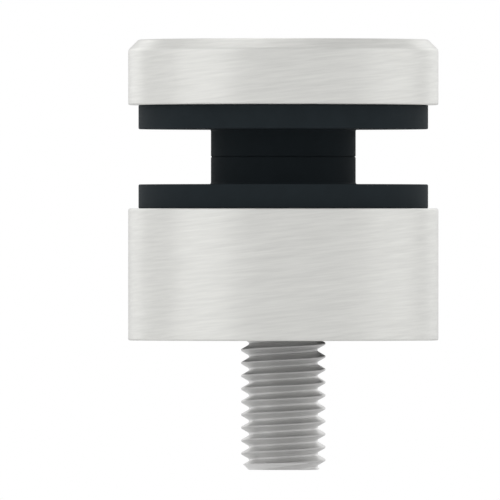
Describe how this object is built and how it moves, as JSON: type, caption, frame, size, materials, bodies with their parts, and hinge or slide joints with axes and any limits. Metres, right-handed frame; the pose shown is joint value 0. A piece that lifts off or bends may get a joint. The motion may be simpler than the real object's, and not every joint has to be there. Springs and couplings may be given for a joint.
{
  "type": "glass point fixing",
  "caption": "Round point fixing that clamps a glass panel through a hole, between a screwed cap and a recessed base with rubber rings, on a threaded stud.",
  "frame": {"origin": "on the axis, in the plane of the base's face that rests on the wall", "axes": "+Z along the axis, from the wall towards the cap"},
  "size_m": [0.036, 0.036, 0.0499],
  "materials": {
    "turned_steel": "fine turned, satin",
    "gasket_rubber": "matte",
    "stud_steel": "rolled, satin"
  },
  "bodies": {
    "wall_side": {"base": "turned_steel", "lower_gasket": "gasket_rubber", "threaded_stud": "stud_steel"},
    "upper_seal": {"upper_gasket": "gasket_rubber"},
    "screw_cap": {"cap": "turned_steel"}
  },
  "joints": [
    {"name": "cap_lift", "type": "slide", "parent": "wall_side", "child": "upper_seal", "axis": [0, 0, 1], "range_m": [0, 0.0105]},
    {"name": "cap_turn", "type": "hinge", "parent": "upper_seal", "child": "screw_cap", "pos_m": [0, 0, 0.0273], "axis": [0, 0, 1], "range_deg": [0, 2520]}
  ],
  "couplings": [
    {"joint": "cap_lift", "follows": "cap_turn", "m_per_rad": 0.00023873}
  ]
}
